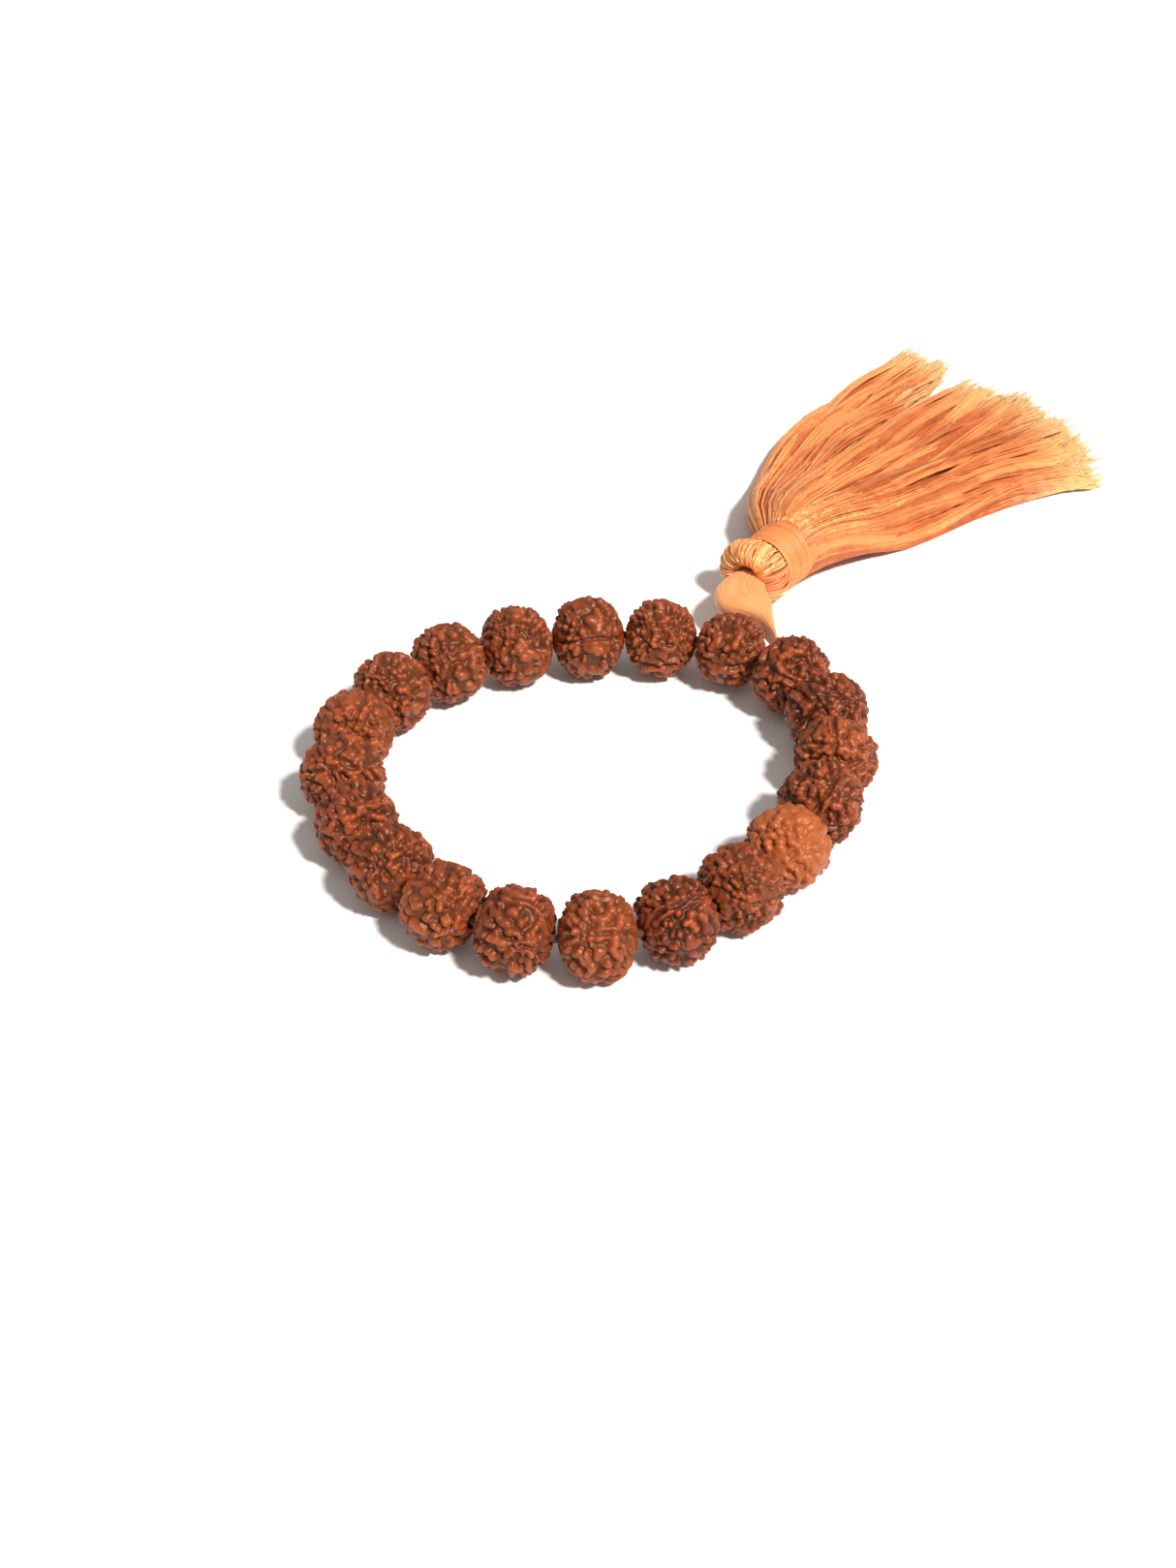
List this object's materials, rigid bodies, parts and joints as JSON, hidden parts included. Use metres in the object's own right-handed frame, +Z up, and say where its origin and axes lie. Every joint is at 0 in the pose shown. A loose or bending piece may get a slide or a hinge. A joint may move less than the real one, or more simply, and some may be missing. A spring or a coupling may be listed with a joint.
{
  "type": "mala prayer beads",
  "caption": "Wrist mala of ribbed seed beads on an elastic cord, closed in a ring, with a fanned silk tassel hung between two beads.",
  "frame": {"origin": "middle of the bead ring, on the table the ring lies on", "axes": "+Z up from the table; +Y from the ring's middle to the gap between two beads that the tassel hangs from; +X to the right, so seen from above the beads count clockwise from the gap"},
  "size_m": [0.0792, 0.1561, 0.0112],
  "materials": {
    "seed": "glossy oiled seed",
    "elastic": "matt brown elastic cord",
    "pale_silk": "smooth silk skein",
    "silk": "glossy orange silk thread",
    "gold_thread": "polished metallic thread"
  },
  "bodies": {
    "string_01": {"cord_01": "elastic"},
    "string_02": {"cord_02": "elastic"},
    "string_03": {"cord_03": "elastic"},
    "string_04": {"cord_04": "elastic"},
    "string_05": {"cord_05": "elastic"},
    "string_06": {"cord_06": "elastic"},
    "string_07": {"cord_07": "elastic"},
    "string_08": {"cord_08": "elastic"},
    "string_09": {"cord_09": "elastic"},
    "string_10": {"cord_10": "elastic"},
    "string_11": {"cord_11": "elastic", "cord_knot": "elastic"},
    "string_12": {"cord_12": "elastic"},
    "string_13": {"cord_13": "elastic"},
    "string_14": {"cord_14": "elastic"},
    "string_15": {"cord_15": "elastic"},
    "string_16": {"cord_16": "elastic"},
    "string_17": {"cord_17": "elastic"},
    "string_18": {"cord_18": "elastic"},
    "string_19": {"cord_19": "elastic"},
    "string_20": {"cord_20": "elastic"},
    "bead_01": {"bead_01": "seed"},
    "bead_02": {"bead_02": "seed"},
    "bead_03": {"bead_03": "seed"},
    "bead_04": {"bead_04": "seed"},
    "bead_05": {"bead_05": "seed"},
    "bead_06": {"bead_06": "seed"},
    "bead_07": {"bead_07": "seed"},
    "bead_08": {"bead_08": "seed"},
    "bead_09": {"bead_09": "seed"},
    "bead_10": {"bead_10": "seed"},
    "bead_11": {"bead_11": "seed"},
    "bead_12": {"bead_12": "seed"},
    "bead_13": {"bead_13": "seed"},
    "bead_14": {"bead_14": "seed"},
    "bead_15": {"bead_15": "seed"},
    "bead_16": {"bead_16": "seed"},
    "bead_17": {"bead_17": "seed"},
    "bead_18": {"bead_18": "seed"},
    "bead_19": {"bead_19": "seed"},
    "bead_20": {"bead_20": "seed"},
    "loop": {"tassel_loop": "pale_silk"},
    "head": {"tassel_crown": "silk", "tassel_core": "silk", "tassel_neck_wrap": "silk", "gold_threads_head": "gold_thread"},
    "skirt": {"tassel_skirt": "silk", "gold_threads_skirt": "gold_thread"}
  },
  "joints": [
    {"name": "ring_squeeze", "type": "hinge", "parent": "string_01", "child": "string_20", "pos_m": [0, 0.03424, 0.0055], "axis": [0, 0, 1], "range_deg": [-6, 6]},
    {"name": "turn_gap_01", "type": "hinge", "parent": "string_01", "child": "string_02", "pos_m": [0.00991, 0.03288, 0.0055], "axis": [0, 0, -1], "range_deg": [-4.81, 4.81]},
    {"name": "turn_gap_02", "type": "hinge", "parent": "string_02", "child": "string_03", "pos_m": [0.01821, 0.02731, 0.0055], "axis": [0, 0, -1], "range_deg": [-1.73, 1.73]},
    {"name": "turn_gap_03", "type": "hinge", "parent": "string_03", "child": "string_04", "pos_m": [0.02393, 0.01911, 0.0055], "axis": [0, 0, -1], "range_deg": [-2.1, 2.1]},
    {"name": "turn_gap_04", "type": "hinge", "parent": "string_04", "child": "string_05", "pos_m": [0.02747, 0.00975, 0.0055], "axis": [0, 0, -1], "range_deg": [-5.15, 5.15]},
    {"name": "turn_gap_05", "type": "hinge", "parent": "string_05", "child": "string_06", "pos_m": [0.02936, -0.00007, 0.0055], "axis": [0, 0, -1], "range_deg": [-6.29, 6.29]},
    {"name": "turn_gap_06", "type": "hinge", "parent": "string_06", "child": "string_07", "pos_m": [0.02928, -0.01006, 0.0055], "axis": [0, 0, -1], "range_deg": [-5.07, 5.07]},
    {"name": "turn_gap_07", "type": "hinge", "parent": "string_07", "child": "string_08", "pos_m": [0.02623, -0.01959, 0.0055], "axis": [0, 0, -1], "range_deg": [-1.95, 1.95]},
    {"name": "turn_gap_08", "type": "hinge", "parent": "string_08", "child": "string_09", "pos_m": [0.0197, -0.02716, 0.0055], "axis": [0, 0, -1], "range_deg": [-1.93, 1.93]},
    {"name": "turn_gap_09", "type": "hinge", "parent": "string_09", "child": "string_10", "pos_m": [0.01064, -0.03139, 0.0055], "axis": [0, 0, -1], "range_deg": [-5.05, 5.05]},
    {"name": "turn_gap_19", "type": "hinge", "parent": "string_20", "child": "string_19", "pos_m": [-0.00956, 0.03131, 0.0055], "axis": [0, 0, 1], "range_deg": [-4.9, 4.9]},
    {"name": "turn_gap_18", "type": "hinge", "parent": "string_19", "child": "string_18", "pos_m": [-0.01764, 0.02542, 0.0055], "axis": [0, 0, 1], "range_deg": [-1.9, 1.9]},
    {"name": "turn_gap_17", "type": "hinge", "parent": "string_18", "child": "string_17", "pos_m": [-0.02417, 0.01784, 0.0055], "axis": [0, 0, 1], "range_deg": [-1.87, 1.87]},
    {"name": "turn_gap_16", "type": "hinge", "parent": "string_17", "child": "string_16", "pos_m": [-0.02904, 0.00911, 0.0055], "axis": [0, 0, 1], "range_deg": [-4.88, 4.88]},
    {"name": "turn_gap_15", "type": "hinge", "parent": "string_16", "child": "string_15", "pos_m": [-0.03148, -0.00059, 0.0055], "axis": [0, 0, 1], "range_deg": [-6, 6]},
    {"name": "turn_gap_14", "type": "hinge", "parent": "string_15", "child": "string_14", "pos_m": [-0.03046, -0.01053, 0.0055], "axis": [0, 0, 1], "range_deg": [-4.8, 4.8]},
    {"name": "turn_gap_13", "type": "hinge", "parent": "string_14", "child": "string_13", "pos_m": [-0.02571, -0.01934, 0.0055], "axis": [0, 0, 1], "range_deg": [-1.72, 1.72]},
    {"name": "turn_gap_12", "type": "hinge", "parent": "string_13", "child": "string_12", "pos_m": [-0.01819, -0.02593, 0.0055], "axis": [0, 0, 1], "range_deg": [-2.1, 2.1]},
    {"name": "turn_gap_11", "type": "hinge", "parent": "string_12", "child": "string_11", "pos_m": [-0.00914, -0.03018, 0.0055], "axis": [0, 0, 1], "range_deg": [-5.14, 5.14]},
    {"name": "spin_bead_01", "type": "hinge", "parent": "string_01", "child": "bead_01", "pos_m": [0.00495, 0.03356, 0.0055], "axis": [0.9907, -0.1363, 0], "continuous": true},
    {"name": "spin_bead_02", "type": "hinge", "parent": "string_02", "child": "bead_02", "pos_m": [0.01406, 0.03009, 0.0055], "axis": [0.8308, -0.5566, 0], "continuous": true},
    {"name": "spin_bead_03", "type": "hinge", "parent": "string_03", "child": "bead_03", "pos_m": [0.02107, 0.02321, 0.0055], "axis": [0.5718, -0.8204, 0], "continuous": true},
    {"name": "spin_bead_04", "type": "hinge", "parent": "string_04", "child": "bead_04", "pos_m": [0.0257, 0.01443, 0.0055], "axis": [0.3537, -0.9354, 0], "continuous": true},
    {"name": "spin_bead_05", "type": "hinge", "parent": "string_05", "child": "bead_05", "pos_m": [0.02841, 0.00484, 0.0055], "axis": [0.1889, -0.982, 0], "continuous": true},
    {"name": "spin_bead_06", "type": "hinge", "parent": "string_06", "child": "bead_06", "pos_m": [0.02932, -0.00507, 0.0055], "axis": [-0.0081, -1, 0], "continuous": true},
    {"name": "spin_bead_07", "type": "hinge", "parent": "string_07", "child": "bead_07", "pos_m": [0.02775, -0.01483, 0.0055], "axis": [-0.3052, -0.9523, 0], "continuous": true},
    {"name": "spin_bead_08", "type": "hinge", "parent": "string_08", "child": "bead_08", "pos_m": [0.02296, -0.02337, 0.0055], "axis": [-0.6529, -0.7575, 0], "continuous": true},
    {"name": "spin_bead_09", "type": "hinge", "parent": "string_09", "child": "bead_09", "pos_m": [0.01517, -0.02928, 0.0055], "axis": [-0.9062, -0.4228, 0], "continuous": true},
    {"name": "spin_bead_10", "type": "hinge", "parent": "string_10", "child": "bead_10", "pos_m": [0.00565, -0.03177, 0.0055], "axis": [-0.9971, -0.0759, 0], "continuous": true},
    {"name": "spin_bead_11", "type": "hinge", "parent": "string_11", "child": "bead_11", "pos_m": [-0.00424, -0.03116, 0.0055], "axis": [-0.9803, 0.1975, 0], "continuous": true},
    {"name": "spin_bead_12", "type": "hinge", "parent": "string_12", "child": "bead_12", "pos_m": [-0.01367, -0.02805, 0.0055], "axis": [-0.9054, 0.4247, 0], "continuous": true},
    {"name": "spin_bead_13", "type": "hinge", "parent": "string_13", "child": "bead_13", "pos_m": [-0.02195, -0.02263, 0.0055], "axis": [-0.7519, 0.6593, 0], "continuous": true},
    {"name": "spin_bead_14", "type": "hinge", "parent": "string_14", "child": "bead_14", "pos_m": [-0.02808, -0.01494, 0.0055], "axis": [-0.4747, 0.8801, 0], "continuous": true},
    {"name": "spin_bead_15", "type": "hinge", "parent": "string_15", "child": "bead_15", "pos_m": [-0.03097, -0.00556, 0.0055], "axis": [-0.1025, 0.9947, 0], "continuous": true},
    {"name": "spin_bead_16", "type": "hinge", "parent": "string_16", "child": "bead_16", "pos_m": [-0.03026, 0.00426, 0.0055], "axis": [0.2447, 0.9696, 0], "continuous": true},
    {"name": "spin_bead_17", "type": "hinge", "parent": "string_17", "child": "bead_17", "pos_m": [-0.0266, 0.01348, 0.0055], "axis": [0.4868, 0.8735, 0], "continuous": true},
    {"name": "spin_bead_18", "type": "hinge", "parent": "string_18", "child": "bead_18", "pos_m": [-0.0209, 0.02163, 0.0055], "axis": [0.6524, 0.7579, 0], "continuous": true},
    {"name": "spin_bead_19", "type": "hinge", "parent": "string_19", "child": "bead_19", "pos_m": [-0.0136, 0.02837, 0.0055], "axis": [0.8081, 0.589, 0], "continuous": true},
    {"name": "spin_bead_20", "type": "hinge", "parent": "string_20", "child": "bead_20", "pos_m": [-0.00478, 0.03278, 0.0055], "axis": [0.9562, 0.2928, 0], "continuous": true},
    {"name": "loop_swing", "type": "hinge", "parent": "string_01", "child": "loop", "pos_m": [0, 0.03424, 0.0055], "axis": [0.9968, 0.0801, 0], "range_deg": [-95, 95]},
    {"name": "head_turn", "type": "hinge", "parent": "loop", "child": "head", "pos_m": [-0.015, 0.0492, 0.0051], "axis": [0, 0, 1], "range_deg": [-30, 50]},
    {"name": "skirt_bend", "type": "hinge", "parent": "head", "child": "skirt", "pos_m": [-0.01603, 0.05985, 0.0051], "axis": [0.9954, 0.0958, 0], "range_deg": [-30, 60]}
  ],
  "couplings": [
    {"joint": "turn_gap_01", "follows": "ring_squeeze", "ratio": 0.7988},
    {"joint": "turn_gap_02", "follows": "ring_squeeze", "ratio": 0.2847},
    {"joint": "turn_gap_03", "follows": "ring_squeeze", "ratio": -0.3468},
    {"joint": "turn_gap_04", "follows": "ring_squeeze", "ratio": -0.8548},
    {"joint": "turn_gap_05", "follows": "ring_squeeze", "ratio": -1.0444},
    {"joint": "turn_gap_06", "follows": "ring_squeeze", "ratio": -0.8419},
    {"joint": "turn_gap_07", "follows": "ring_squeeze", "ratio": -0.3223},
    {"joint": "turn_gap_08", "follows": "ring_squeeze", "ratio": 0.3184},
    {"joint": "turn_gap_09", "follows": "ring_squeeze", "ratio": 0.8384},
    {"joint": "turn_gap_19", "follows": "ring_squeeze", "ratio": 0.8134},
    {"joint": "turn_gap_18", "follows": "ring_squeeze", "ratio": 0.3125},
    {"joint": "turn_gap_17", "follows": "ring_squeeze", "ratio": -0.3086},
    {"joint": "turn_gap_16", "follows": "ring_squeeze", "ratio": -0.8099},
    {"joint": "turn_gap_15", "follows": "ring_squeeze", "ratio": -0.9972},
    {"joint": "turn_gap_14", "follows": "ring_squeeze", "ratio": -0.797},
    {"joint": "turn_gap_13", "follows": "ring_squeeze", "ratio": -0.2841},
    {"joint": "turn_gap_12", "follows": "ring_squeeze", "ratio": 0.3462},
    {"joint": "turn_gap_11", "follows": "ring_squeeze", "ratio": 0.853}
  ]
}
